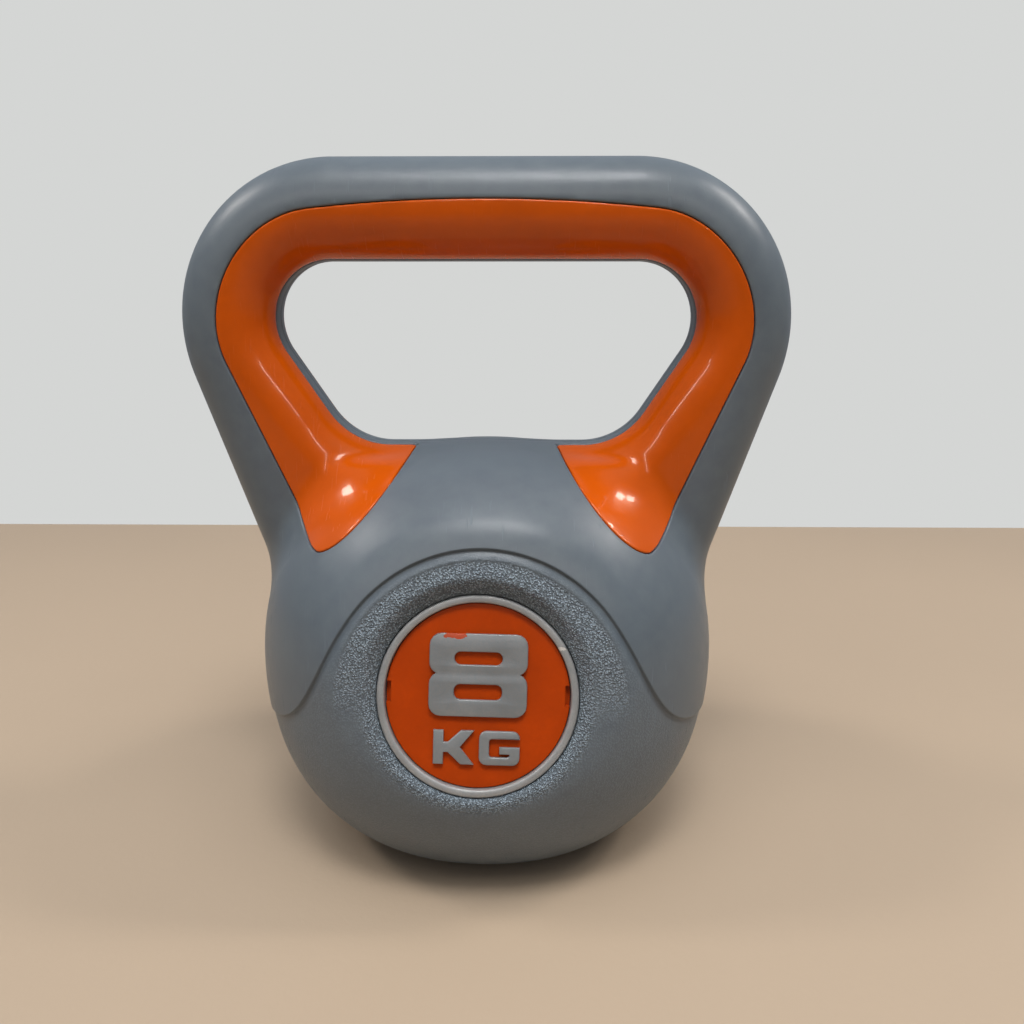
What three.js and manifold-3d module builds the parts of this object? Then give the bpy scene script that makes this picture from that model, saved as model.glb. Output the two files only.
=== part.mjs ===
// Cement-filled training kettlebell of 8 kg: a blow-moulded plastic shell with
// soft grip panels let into the handle, and a weight badge on each face.
// Frame: +X to the right, +Z up, front face towards -Y, origin at the middle
// of the flat base. All sizes are in millimetres.
import * as THREE from 'three';
import { mergeVertices } from 'three/addons/utils/BufferGeometryUtils.js';
import Module from 'manifold-3d';

const wasm = await Module();
wasm.setup();

// ---- Driving dimensions -------------------------------------------------
const HEIGHT = 270;
const HANDLE_WIDTH = 236;
const BAR = 37; // thickness of the grip bar, up and down and front to back
const HORN_SLANT = THREE.MathUtils.degToRad(17.5); // outer side of each horn
const CORNER_RADIUS = 62; // outer corner of the handle

const WINDOW_BOTTOM = 163;
const WINDOW_WIDTH = 161;
const WINDOW_SLANT = THREE.MathUtils.degToRad(32.8);
const WINDOW_TOP_RADIUS = 22;
const WINDOW_BOTTOM_RADIUS = 28;

const BELL_WIDTH = 187;
const BELL_DEPTH = 168;
const BELL_HALF_HEIGHT = 88;
const BELL_CENTRE = 75;
const BELL_FULLNESS = 2.2; // 2 is an ellipsoid, more is fuller
const BELL_LEAN = 5; // how much lower the widest place is at the front and back

const WALL = 3.5; // plastic wall of the shell
const BASE_WALL = 5; // thicker floor round the filling hole
const GAP = 0.3; // between pieces that touch

const GRIP_THICKNESS = 2;
const SEAM_HALF = 5; // half of the grey parting band between the two panels
const GRIP_CORNER = { x: 63, z: 217, radius: 37 };
const GRIP_SLANT = THREE.MathUtils.degToRad(21.7); // outer side of each leg
const GRIP_CROWN = 0.00083; // fall of the panel's edge with the square of X
const GRIP_TIP = { x: 62, z: 129.5, roundTo: 143 };
const GRIP_RISE = { scale: 0.157, power: 1.52 }; // inner edge, up from the tip

const BADGE_CENTRE = new THREE.Vector3(-1, -70, 85.1); // on the rim's front face
const BADGE_TILT = THREE.MathUtils.degToRad(16); // the badge looks slightly up
const BADGE_TURN = THREE.MathUtils.degToRad(-1.3); // the badge sits a little askew
const BADGE_RADIUS = 35.8;
const BADGE_RIM = 2.8; // radial width of the rim
const BADGE_DEPTH = 5; // rim front to pocket floor
const FIELD_DEPTH = 2; // rim front down to the coloured field
const RELIEF = 1.5; // height of the characters over the field
const FACE = 4.2; // height of the bell's flat face over the rim's front
const DISH_SPREAD = 1.1; // run of the dish wall for each unit of its depth

const PLUG_HEAD_RADIUS = 20;
const PLUG_STEM_RADIUS = 15;
const PLUG_HEAD = 2.4;
const PLUG_SUNK = 0.6; // the plug's face stays clear of the floor

const ROD_RADIUS = 5;
const ROD_TURN = 15; // the rod leaves the horns this far below the corner's centre
const ROD_PULL = { out: 42, down: 3 }; // where its bend is drawn to, from the bar's end

// ---- Materials ----------------------------------------------------------
const plastic = (color, roughness) => new THREE.MeshStandardMaterial({ color, roughness, metalness: 0 });
const GREY = plastic(0x6f787e, 0.45);
const ORANGE = plastic(0xd8560c, 0.18);
const FIELD_ORANGE = plastic(0xc04a08, 0.4);
const SILVER = new THREE.MeshStandardMaterial({ color: 0xa9a49f, roughness: 0.4, metalness: 0.3 });
const CEMENT = plastic(0x9a968d, 0.95);
const STEEL = new THREE.MeshStandardMaterial({ color: 0x77706a, roughness: 0.5, metalness: 0.9 });
const PLUG_GREY = plastic(0x5a6166, 0.5);

const ROUND = 32; // sides of a turned piece

// ---- Solids -------------------------------------------------------------
function solid(geometry) {
  const bare = geometry.index ? geometry.clone() : geometry;
  bare.deleteAttribute('normal');
  bare.deleteAttribute('uv');
  const merged = mergeVertices(bare, 1e-3);
  return new wasm.Manifold(new wasm.Mesh({
    numProp: 3,
    vertProperties: new Float32Array(merged.attributes.position.array),
    triVerts: new Uint32Array(merged.index.array),
  }));
}

function geometryOf(manifold) {
  const mesh = manifold.getMesh();
  const geometry = new THREE.BufferGeometry();
  geometry.setAttribute('position', new THREE.BufferAttribute(mesh.vertProperties, 3));
  geometry.setIndex(new THREE.BufferAttribute(mesh.triVerts, 1));
  geometry.computeVertexNormals();
  return geometry;
}

function node(name, shape, material) {
  const geometry = shape instanceof THREE.BufferGeometry ? shape : geometryOf(shape);
  const mesh = new THREE.Mesh(geometry, material);
  mesh.name = name;
  return mesh;
}

function slab(width, depth, low, high) {
  const box = new THREE.BoxGeometry(width, depth, high - low);
  return solid(box.translate(0, 0, (high + low) / 2));
}

// An outline drawn in X and Z, pushed from one depth to another along Y.
function prism(outline, nearY, farY) {
  const geometry = new THREE.ExtrudeGeometry(outline, {
    depth: farY - nearY, bevelEnabled: false, curveSegments: 4,
  });
  return solid(geometry.rotateX(Math.PI / 2).translate(0, farY, 0));
}

// ---- Body: bell and handle, drawn smaller by an inset -------------------
function bell(inset, detail) {
  const geometry = new THREE.SphereGeometry(1, 4 * detail, 2 * detail).rotateX(Math.PI / 2);
  const place = geometry.attributes.position;
  const radii = [BELL_WIDTH / 2 - inset, BELL_DEPTH / 2 - inset, BELL_HALF_HEIGHT - inset];
  for (let i = 0; i < place.count; i += 1) {
    const ray = [place.getX(i), place.getY(i), place.getZ(i)];
    const power = ray.reduce((sum, c) => sum + Math.abs(c) ** BELL_FULLNESS, 0);
    const reach = power ** (-1 / BELL_FULLNESS);
    const [x, y, z] = ray.map((c, axis) => c * reach * radii[axis]);
    place.setXYZ(i, x, y, z - BELL_LEAN * (y / radii[1]) ** 2);
  }
  return solid(geometry.translate(0, 0, BELL_CENTRE));
}

const CORNER_X = HANDLE_WIDTH / 2 - CORNER_RADIUS;
const CORNER_Z = HEIGHT - CORNER_RADIUS;

// Half width of the handle outline at a height, along the slanted side.
function hornX(z, inset = 0) {
  const reach = CORNER_RADIUS - inset + (z - CORNER_Z) * Math.sin(HORN_SLANT);
  return CORNER_X + reach / Math.cos(HORN_SLANT);
}

function windowPath() {
  const topX = WINDOW_WIDTH / 2 - WINDOW_TOP_RADIUS;
  const topZ = HEIGHT - BAR - WINDOW_TOP_RADIUS;
  const lowZ = WINDOW_BOTTOM + WINDOW_BOTTOM_RADIUS;
  const step = WINDOW_TOP_RADIUS - WINDOW_BOTTOM_RADIUS + (lowZ - topZ) * Math.sin(WINDOW_SLANT);
  const lowX = topX + step / Math.cos(WINDOW_SLANT);
  const path = new THREE.Path();
  path.absarc(topX, topZ, WINDOW_TOP_RADIUS, -WINDOW_SLANT, Math.PI / 2);
  path.absarc(-topX, topZ, WINDOW_TOP_RADIUS, Math.PI / 2, Math.PI + WINDOW_SLANT);
  path.absarc(-lowX, lowZ, WINDOW_BOTTOM_RADIUS, Math.PI + WINDOW_SLANT, 1.5 * Math.PI);
  path.absarc(lowX, lowZ, WINDOW_BOTTOM_RADIUS, 1.5 * Math.PI, 2 * Math.PI - WINDOW_SLANT);
  path.closePath();
  return path;
}

// A ring-shaped plate whose edges are rounded until the bar is a round bar.
function handle(inset, detail) {
  const foot = BELL_CENTRE + BAR / 2; // hidden inside the bell
  const outline = new THREE.Shape();
  outline.moveTo(-hornX(foot), foot);
  outline.lineTo(hornX(foot), foot);
  outline.absarc(CORNER_X, CORNER_Z, CORNER_RADIUS, -HORN_SLANT, Math.PI / 2);
  outline.absarc(-CORNER_X, CORNER_Z, CORNER_RADIUS, Math.PI / 2, Math.PI + HORN_SLANT);
  outline.closePath();
  outline.holes.push(windowPath());
  const flat = 1; // half of the flat stretch left between the rounded edges
  const round = BAR / 2 - flat - inset;
  const geometry = new THREE.ExtrudeGeometry(outline, {
    depth: 2 * flat,
    bevelThickness: round,
    bevelSize: round,
    bevelOffset: -round - inset,
    bevelSegments: Math.floor(detail / 2),
    curveSegments: Math.ceil(detail / 2),
  });
  return solid(geometry.translate(0, 0, -flat).rotateX(Math.PI / 2));
}

// Bell and handle, with a flat face parallel to the badge on each side.
function body(inset, detail, floor) {
  let whole = bell(inset, detail).add(handle(inset, detail));
  for (const side of [-1, 1]) {
    const inwards = new THREE.Vector3(0, -side * Math.cos(BADGE_TILT), -Math.sin(BADGE_TILT));
    const reach = BADGE_CENTRE.z * inwards.z + BADGE_CENTRE.y * Math.cos(BADGE_TILT);
    whole = whole.trimByPlane(inwards.toArray(), reach - FACE + inset);
  }
  return whole.intersect(slab(2 * HANDLE_WIDTH, 2 * BELL_DEPTH, floor, 2 * HEIGHT));
}

// ---- Grip panels --------------------------------------------------------
// One half of a panel's outline seen from the front, from the middle of its
// top edge round the corner and the tip to its inner edge in the window.
function gripHalf(extra) {
  const sunk = (x, z) => new THREE.Vector2(x, z - GRIP_CROWN * x ** 2);
  const radius = GRIP_CORNER.radius + extra;
  const along = (angle, run) => sunk(
    GRIP_CORNER.x + radius * Math.cos(angle) + run * Math.sin(angle),
    GRIP_CORNER.z + radius * Math.sin(angle) - run * Math.cos(angle));
  const steps = 6;
  const corner = Array.from({ length: steps + 1 }, (_, i) => along(
    THREE.MathUtils.lerp(Math.PI / 2, -GRIP_SLANT, i / steps), 0));
  const foot = GRIP_TIP.z - extra;
  const sideEnd = along(-GRIP_SLANT, (corner[steps].y - GRIP_TIP.roundTo) / Math.cos(GRIP_SLANT));
  const sideFoot = along(-GRIP_SLANT, (corner[steps].y - foot) / Math.cos(GRIP_SLANT));
  const tip = new THREE.QuadraticBezierCurve(
    sideEnd, new THREE.Vector2(sideFoot.x, foot), new THREE.Vector2(GRIP_TIP.x, foot));
  const inner = Array.from({ length: steps }, (_, i) => {
    const inwards = GRIP_TIP.x * (i + 1) / (steps + 1);
    const slope = GRIP_RISE.scale * GRIP_RISE.power * inwards ** (GRIP_RISE.power - 1);
    const shift = extra / Math.hypot(slope, 1);
    const height = GRIP_TIP.z + GRIP_RISE.scale * inwards ** GRIP_RISE.power;
    return new THREE.Vector2(GRIP_TIP.x - inwards - slope * shift, height - shift);
  });
  return [sunk(0, GRIP_CORNER.z + radius), ...corner, ...tip.getPoints(3), ...inner];
}

// The whole outline: the two halves are mirror images and share the top point.
function gripOutline(extra) {
  const right = gripHalf(extra);
  const left = right.slice(1).reverse().map((point) => new THREE.Vector2(-point.x, point.y));
  return new THREE.Shape([...right, ...left]);
}

function gripPrism(side, extra) {
  const near = side < 0 ? -BELL_DEPTH : SEAM_HALF - extra;
  const far = side < 0 ? -SEAM_HALF + extra : BELL_DEPTH;
  return prism(gripOutline(extra), near, far);
}

// ---- Badge --------------------------------------------------------------
// Badge space: X to the right, Y up the face, Z straight out, zero on the rim.
function badgePlace(side) {
  const place = new THREE.Matrix4().makeTranslation(BADGE_CENTRE);
  place.multiply(new THREE.Matrix4().makeRotationX(Math.PI / 2 - BADGE_TILT));
  place.multiply(new THREE.Matrix4().makeRotationZ(BADGE_TURN));
  return side < 0 ? place : new THREE.Matrix4().makeRotationZ(Math.PI).multiply(place);
}

// A turned solid about Z from [radius, z] corners, each radius over zero
// unless the profile starts and ends on the axis.
function turned(corners, segments, closed) {
  const points = corners.map(([r, z]) => new THREE.Vector2(r, z));
  if (closed) points.push(points[0].clone());
  return new THREE.LatheGeometry(points, segments).rotateX(Math.PI / 2);
}

function badgePocket(side) {
  const radius = BADGE_RADIUS + GAP;
  const reach = 14;
  const cut = turned([
    [0, -BADGE_DEPTH - GAP], [radius, -BADGE_DEPTH - GAP], [radius, -1],
    [radius + reach * DISH_SPREAD, reach - 1], [0, reach - 1],
  ], ROUND, false);
  return solid(cut.applyMatrix4(badgePlace(side)));
}

// A character or part of one, standing on the field, and a cutter for holes.
function raised(outline, low = -FIELD_DEPTH + GAP, height = RELIEF) {
  const geometry = new THREE.ExtrudeGeometry(outline, {
    depth: height, bevelEnabled: false, curveSegments: 2,
  });
  return solid(geometry.translate(0, 0, low));
}

function cutter(outline) {
  return raised(outline, -BADGE_DEPTH, 2 * BADGE_DEPTH);
}

function roundedBox(left, low, width, height, radius) {
  const right = left + width;
  const top = low + height;
  const path = new THREE.Shape();
  path.absarc(right - radius, low + radius, radius, -Math.PI / 2, 0);
  path.absarc(right - radius, top - radius, radius, 0, Math.PI / 2);
  path.absarc(left + radius, top - radius, radius, Math.PI / 2, Math.PI);
  path.absarc(left + radius, low + radius, radius, Math.PI, 1.5 * Math.PI);
  path.closePath();
  return path;
}

const DIGIT = { low: -7.3, width: 34.8, height: 29.3, corner: 4.2, waist: 15.1, lap: 0.7 };
const DIGIT_SLOTS = [{ middle: 1.4, tall: 5.4 }, { middle: 13.3, tall: 4.6 }];
const DIGIT_SLOT = { width: 17, corner: 2 };
const LETTER = { low: -24.2, width: 14.4, height: 12, stroke: 3.8, gap: 0.9 };
const K_ARM = { foot: 4.9, joint: 1.6, notch: 5 }; // width at the foot, root, depth between arms
const G_FORM = { corner: 2.6, inner: 1, thick: 2.8, bar: 2.5, barLow: -2.1, mouthLow: 0.4 };
const SIDE_SLOT = { width: 4, height: 7.4, up: 0.7 }; // at each side of the field

// A plain wide figure 8: two stacked rounded blocks with a slot in each. The
// blocks lap a little, so a notch is left on each side at the waist.
function figureEight() {
  const { low, width, height, corner, waist, lap } = DIGIT;
  const lower = raised(roundedBox(-width / 2, low, width, waist + lap / 2, corner));
  const upper = raised(roundedBox(-width / 2, low + waist - lap / 2, width,
    height - waist + lap / 2, corner));
  const across = DIGIT_SLOT.width;
  return DIGIT_SLOTS.reduce((digit, { middle, tall }) => digit.subtract(
    cutter(roundedBox(-across / 2, middle - tall / 2, across, tall, DIGIT_SLOT.corner))),
  lower.add(upper));
}

function letterK() {
  const { low, width, height, stroke, gap } = LETTER;
  const left = -gap - width;
  const right = -gap;
  const top = low + height;
  const middle = low + height / 2;
  const stem = left + stroke;
  const root = stem + K_ARM.joint;
  const outline = new THREE.Shape();
  outline.moveTo(left, low);
  outline.lineTo(stem, low);
  outline.lineTo(stem, middle - stroke / 2);
  outline.lineTo(root, middle - stroke / 2);
  outline.lineTo(right - K_ARM.foot, low);
  outline.lineTo(right, low);
  outline.lineTo(right - K_ARM.notch, middle);
  outline.lineTo(right, top);
  outline.lineTo(right - K_ARM.foot, top);
  outline.lineTo(root, middle + stroke / 2);
  outline.lineTo(stem, middle + stroke / 2);
  outline.lineTo(stem, top);
  outline.lineTo(left, top);
  outline.closePath();
  return raised(outline);
}

function letterG() {
  const { low, width, height, stroke, gap } = LETTER;
  const { corner, inner, thick, bar, barLow, mouthLow } = G_FORM;
  const middle = low + height / 2;
  const centre = gap + width / 2;
  const sharp = 0.2;
  const block = raised(roundedBox(gap, low, width, height, corner));
  const hollow = cutter(roundedBox(
    gap + stroke, low + thick, width - 2 * stroke, height - 2 * thick, inner));
  const mouth = cutter(roundedBox(centre, middle + mouthLow, width, bar, sharp));
  const crossbar = raised(roundedBox(centre, middle + barLow, width / 2, bar, sharp));
  return block.subtract(hollow).subtract(mouth).add(crossbar);
}

function badge(side, label) {
  const group = new THREE.Group();
  group.applyMatrix4(badgePlace(side));
  const rimInner = BADGE_RADIUS - BADGE_RIM;
  const back = -BADGE_DEPTH;
  const disc = solid(turned([[0, back], [rimInner - GAP, back], [rimInner - GAP, -FIELD_DEPTH],
    [0, -FIELD_DEPTH]], ROUND, false));
  const slots = [-1, 1].map((end) => solid(
    new THREE.BoxGeometry(SIDE_SLOT.width, SIDE_SLOT.height, FIELD_DEPTH)
      .translate(end * rimInner, SIDE_SLOT.up, -FIELD_DEPTH)));
  const chamfer = 0.5;
  const rim = turned([[rimInner, back], [BADGE_RADIUS, back], [BADGE_RADIUS, -chamfer],
    [BADGE_RADIUS - chamfer, 0], [rimInner + chamfer, 0], [rimInner, -chamfer]], ROUND, true);
  group.add(node(`badge_disc_${label}`, disc.subtract(slots[0]).subtract(slots[1]), FIELD_ORANGE));
  group.add(node(`badge_ring_${label}`, solid(rim), SILVER));
  group.add(node(`badge_numeral_8_${label}`, figureEight(), SILVER));
  group.add(node(`badge_letter_k_${label}`, letterK(), SILVER));
  group.add(node(`badge_letter_g_${label}`, letterG(), SILVER));
  return group;
}

// ---- Inner pieces -------------------------------------------------------
// One bent rod: up from the base, out along each horn and across the bar.
function rod(radius) {
  const footZ = -BASE_WALL;
  const barZ = HEIGHT - BAR / 2;
  const hornInset = BAR / 2 + 2; // a little inwards of the horn's middle
  const legX = PLUG_HEAD_RADIUS + 3 * ROD_RADIUS;
  const turnZ = CORNER_Z - ROD_TURN;
  const turnX = hornX(turnZ, hornInset);
  const route = new THREE.CurvePath();
  const stops = [
    [-legX, footZ], [-legX, BELL_CENTRE], [-turnX, turnZ], [-CORNER_X, barZ],
    [CORNER_X, barZ], [turnX, turnZ], [legX, BELL_CENTRE], [legX, footZ],
  ].map(([x, z]) => new THREE.Vector3(x, 0, z));
  const outwards = new THREE.Vector3(-CORNER_X - ROD_PULL.out, 0, barZ - ROD_PULL.down);
  const inwards = outwards.clone().setX(-outwards.x);
  route.add(new THREE.LineCurve3(stops[0], stops[1]));
  route.add(new THREE.LineCurve3(stops[1], stops[2]));
  route.add(new THREE.QuadraticBezierCurve3(stops[2], outwards, stops[3]));
  route.add(new THREE.LineCurve3(stops[3], stops[4]));
  route.add(new THREE.QuadraticBezierCurve3(stops[4], inwards, stops[5]));
  route.add(new THREE.LineCurve3(stops[5], stops[6]));
  route.add(new THREE.LineCurve3(stops[6], stops[7]));
  const section = new THREE.Shape();
  section.absarc(0, 0, radius, 0, 2 * Math.PI);
  return solid(new THREE.ExtrudeGeometry(section, {
    steps: 32, extrudePath: route, curveSegments: 4, bevelEnabled: false,
  }));
}

function plugProfile(gap) {
  return turned([
    [0, gap ? -1 : PLUG_SUNK], [PLUG_HEAD_RADIUS + gap, gap ? -1 : PLUG_SUNK],
    [PLUG_HEAD_RADIUS + gap, PLUG_SUNK + PLUG_HEAD + gap],
    [PLUG_STEM_RADIUS + gap, PLUG_SUNK + PLUG_HEAD + gap],
    [PLUG_STEM_RADIUS + gap, BASE_WALL + (gap ? 1 : 0)], [0, BASE_WALL + (gap ? 1 : 0)],
  ], ROUND, false);
}

// ---- Assembly -----------------------------------------------------------
const OUTER_DETAIL = 7;
const INNER_DETAIL = 5;
const SIDES = [[-1, 'front'], [1, 'back']];

function shell() {
  const recess = body(GRIP_THICKNESS + GAP, OUTER_DETAIL, 0);
  let wall = body(0, OUTER_DETAIL, 0);
  for (const [side] of SIDES) {
    wall = wall.subtract(gripPrism(side, GAP).subtract(recess));
    wall = wall.subtract(badgePocket(side));
  }
  wall = wall.subtract(cavity(0));
  return wall.subtract(solid(plugProfile(GAP)));
}

// The space inside the shell, behind the wall, the grip recess and the badges.
function cavity(gap) {
  const deep = WALL + GRIP_THICKNESS + GAP + gap;
  let space = body(deep, INNER_DETAIL, BASE_WALL + gap);
  for (const [side] of SIDES) {
    const behind = turned([
      [0, -BADGE_DEPTH - WALL - gap], [BADGE_RADIUS + WALL + gap, -BADGE_DEPTH - WALL - gap],
      [BADGE_RADIUS + 4 * WALL, BADGE_DEPTH], [0, BADGE_DEPTH],
    ], ROUND, false);
    space = space.subtract(solid(behind.applyMatrix4(badgePlace(side))));
  }
  return space;
}

const kettlebell = new THREE.Group();
kettlebell.add(node('shell', shell(), GREY));
for (const [side, label] of SIDES) {
  const skin = body(0, OUTER_DETAIL, 0).subtract(body(GRIP_THICKNESS, OUTER_DETAIL, 0));
  kettlebell.add(node(`grip_inlay_${label}`, skin.intersect(gripPrism(side, 0)), ORANGE));
  kettlebell.add(badge(side, label));
}
const aboveFloor = slab(2 * HANDLE_WIDTH, BELL_DEPTH, BASE_WALL + 2 * GAP, 2 * HEIGHT);
kettlebell.add(node('cement_core', cavity(GAP).subtract(rod(ROD_RADIUS + GAP)), CEMENT));
kettlebell.add(node('handle_rod', rod(ROD_RADIUS).intersect(aboveFloor), STEEL));
kettlebell.add(node('filler_plug', solid(plugProfile(0)), PLUG_GREY));

export default kettlebell;
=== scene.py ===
import math

import bmesh
import bpy
import numpy as np
from mathutils import Matrix, Vector


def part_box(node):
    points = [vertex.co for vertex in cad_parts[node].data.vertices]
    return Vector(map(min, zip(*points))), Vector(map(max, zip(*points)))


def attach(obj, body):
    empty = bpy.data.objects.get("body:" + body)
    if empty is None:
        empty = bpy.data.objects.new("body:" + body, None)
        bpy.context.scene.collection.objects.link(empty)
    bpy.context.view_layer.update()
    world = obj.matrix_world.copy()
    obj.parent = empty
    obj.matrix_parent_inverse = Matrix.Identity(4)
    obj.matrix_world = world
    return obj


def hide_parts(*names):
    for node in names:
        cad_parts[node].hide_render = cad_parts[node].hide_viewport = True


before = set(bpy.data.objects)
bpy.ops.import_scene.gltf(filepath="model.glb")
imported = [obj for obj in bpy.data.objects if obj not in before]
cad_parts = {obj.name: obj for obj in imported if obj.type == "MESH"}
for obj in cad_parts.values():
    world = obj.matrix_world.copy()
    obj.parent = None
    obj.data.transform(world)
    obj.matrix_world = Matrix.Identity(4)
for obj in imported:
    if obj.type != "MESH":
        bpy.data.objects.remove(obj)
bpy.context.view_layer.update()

# Kettlebell of 8 kg: grey blow-moulded shell, two orange grip panels let into
# the handle, a weight badge on each face, the cement fill with its rod, and the
# filling plug. Shapes are worked out in millimetres in the row frame, front face
# towards -Y, and become metres as each mesh is made.
MM = 0.001

# ---- Driving dimensions, millimetres
# Pairs named SPAN, WIDTH, RUN, TOP or FADE give where a smooth change starts and ends.
SHELL_LOW, SHELL_HIGH = (np.array(corner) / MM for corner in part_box("shell"))
HEIGHT = SHELL_HIGH[2]
HANDLE_WIDTH = 236
BAR = 37
HORN_SLANT = math.radians(17.5)
CORNER_RADIUS = 62
CORNER_X = HANDLE_WIDTH / 2 - CORNER_RADIUS
CORNER_Z = HEIGHT - CORNER_RADIUS
HANDLE_FOOT = 95
BAR_ROUND = BAR / 2 - 1

WINDOW_LOW = 163
WINDOW_HIGH = HEIGHT - BAR
WINDOW_HALF_WIDTH = 80.5
WINDOW_SLANT = math.radians(32.8)
WINDOW_TOP_RADIUS = 22
WINDOW_LOW_RADIUS = 28

BELL_RADII = np.array([93.5, 84.0, 88.0])
BELL_CENTRE = np.array([0.0, 0.0, 75.0])
BELL_FULLNESS = 2.2
BELL_LEAN = 5
FRONT_FILLET = 21
NECK_FILLET = 9
SADDLE_FILLET = 3
NECK_SPAN = (54, 86)
SADDLE_SPAN = (7, 22)
SADDLE_WIDTH = (16, 52)
BASE_ROUND = 3

WALL = 3.5
BASE_WALL = 5
GAP = 0.3

GRIP_THICKNESS = 2
SEAM_HALF = 5
GRIP_CORNER = (63, 217)
GRIP_CORNER_RADIUS = 37
GRIP_SLANT = math.radians(21.7)
GRIP_CROWN = 0.00083
GRIP_TIP_X = 62
GRIP_TIP = 129.5
GRIP_TIP_RADIUS = 8
GRIP_RISE = 0.157
GRIP_RISE_POWER = 1.52
EDGE_ROLL = 0.6

ARCH_CENTRE = np.array([0.0, 78.0])
ARCH_RADII = np.array([57.2, 58.1])
ARCH_FOOT = 58
ARCH_SPREAD = 55
ARCH_STEP = 1.3
ARCH_STEP_HALF = 0.35
ARCH_RISE = 1.1
ARCH_TOP = (50, 125)
ARCH_BAND = 3.4
ARCH_FADE = (5, 90)
GRAIN_RADII = np.array([53.4, 54.4])
GRAIN_STEP = 0.25
GRAIN_STEP_HALF = 0.35
GRAIN_CROWN = 1.2
GRAIN_CROWN_RUN = (0, 10)
GRAIN_TOP = (88, 112)
# The grain and its painted glints fade in upwards over these heights, the glints as painted highlight from
# above.
GRAIN_AND_GLINT_FADE = (68, 106)
GRAIN_ROUND_BADGE, GRAIN_ON_BOWL = 0.9, 0.12

BADGE_CENTRE = np.array([-1.0, -70.0, 85.1])
BADGE_TILT = math.radians(16)
BADGE_TURN = math.radians(-1.3)
BADGE_RADIUS = 35.8
BADGE_RIM = 2.8
BADGE_DEPTH = 5
BADGE_SIDE = 40
FIELD_DEPTH = 2
RELIEF = 1.5
FACE = 4.2
FACE_FILLET = 5
DISH_SPREAD = 1.1
DISH_START = BADGE_RADIUS + 0.7
DISH_LIP = 1.6
DISH_REACH = 56
POCKET_ROLL = 0.4
POCKET_RADIUS = BADGE_RADIUS + GAP

SEAM_LINE = 0.12
SEAM_LINE_HALF = 0.45
SEAM_LINE_FADE = (1, 6)

PLUG_HEAD_RADIUS = 20
PLUG_STEM_RADIUS = 15
PLUG_HEAD = 2.4
PLUG_SUNK = 0.6
PLUG_FACE_RADIUS = 12
PLUG_DIMPLE = 0.3
COIN_SLOT = (22, 2.6, 1.4)
ROD_RADIUS = 5

SIDES = {"front": 0.0, "back": math.pi}

# Grid steps of the outer surface, the hollow inside it and the fill.
GRID, HOLLOW_GRID, FILL_GRID = 2.0, 5, 4
# A distance larger than any in the part.
FAR = 1e3
# How far past a line a point must lie to count as being beyond its wall.
TINY = 0.01
# Distances of the lines cut across a rolled edge, from its wall.
ROLL_LINES = np.array([0, 0.08, 0.3, EDGE_ROLL])


# ---- Distance fields: negative inside
def smooth_step(low, high, x):
    t = np.clip((x - low) / (high - low), 0, 1)
    return t * t * (3 - 2 * t)


def round_max(a, b, radius):
    """The larger of two distances, with the corner between them rounded."""
    inner = np.minimum(np.maximum(a, b), -radius)
    return inner + np.hypot(np.maximum(a + radius, 0), np.maximum(b + radius, 0))


def melt(a, b, width):
    """The smaller of two distances, with a fillet where they meet."""
    overlap = np.maximum(width - np.abs(a - b), 0) / width
    return np.minimum(a, b) - overlap ** 2 * width / 4


def round_form(offset, radii, fullness=2.0):
    """About the distance to a superellipse or a superellipsoid."""
    share = np.abs(offset / radii) + 1e-9
    reach = (share ** fullness).sum(-1) ** (1 / fullness)
    slope = (share / reach[..., None]) ** (fullness - 1) / radii
    return (reach - 1) / np.sqrt((slope ** 2).sum(-1))


def rounded_corner(x, z, centre, radius, low, high):
    """Distance to a corner mirrored in X: sides that face the low and the high
    angle, with an arc between them."""
    across, up = np.abs(x) - centre[0], z - centre[1]
    facing = np.arctan2(up, across)
    sides = np.maximum(across * math.cos(low) + up * math.sin(low),
                       across * math.cos(high) + up * math.sin(high))
    return np.where((facing > low) & (facing < high), np.hypot(across, up), sides) - radius


def handle_outline(x, z):
    return rounded_corner(x, z, (CORNER_X, CORNER_Z), CORNER_RADIUS, -HORN_SLANT, math.pi / 2)


def window_outline(x, z):
    top = (WINDOW_HALF_WIDTH - WINDOW_TOP_RADIUS, WINDOW_HIGH - WINDOW_TOP_RADIUS)
    foot_z = WINDOW_LOW + WINDOW_LOW_RADIUS
    shift = WINDOW_TOP_RADIUS - WINDOW_LOW_RADIUS + (foot_z - top[1]) * math.sin(WINDOW_SLANT)
    foot = (top[0] + shift / math.cos(WINDOW_SLANT), foot_z)
    upper = rounded_corner(x, z, top, WINDOW_TOP_RADIUS, -WINDOW_SLANT, math.pi / 2)
    lower = rounded_corner(x, z, foot, WINDOW_LOW_RADIUS, -math.pi / 2, -WINDOW_SLANT)
    return np.maximum(upper, lower)


def handle(p):
    x, y, z = p[..., 0], p[..., 1], p[..., 2]
    plate = np.maximum(handle_outline(x, z), -window_outline(x, z))
    return round_max(plate, np.abs(y) - BAR / 2, BAR_ROUND)


def badge_space(p):
    """Across, up and out from the middle of the nearer badge's rim."""
    facing = np.where(p[..., 1] > 0, -1, 1)
    x, y, z = p[..., 0] * facing, p[..., 1] * facing, p[..., 2]
    offset = np.stack([x, y, z], -1) - BADGE_CENTRE
    up = offset[..., 1] * math.sin(BADGE_TILT) + offset[..., 2] * math.cos(BADGE_TILT)
    out = offset[..., 2] * math.sin(BADGE_TILT) - offset[..., 1] * math.cos(BADGE_TILT)
    return offset[..., 0], up, out


def badge_radius(p):
    across, up, _ = badge_space(p)
    return np.hypot(across, up)


def bell(p):
    offset = p - BELL_CENTRE
    offset[..., 2] += BELL_LEAN * (offset[..., 1] / BELL_RADII[1]) ** 2
    return round_form(offset, BELL_RADII, BELL_FULLNESS)


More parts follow.
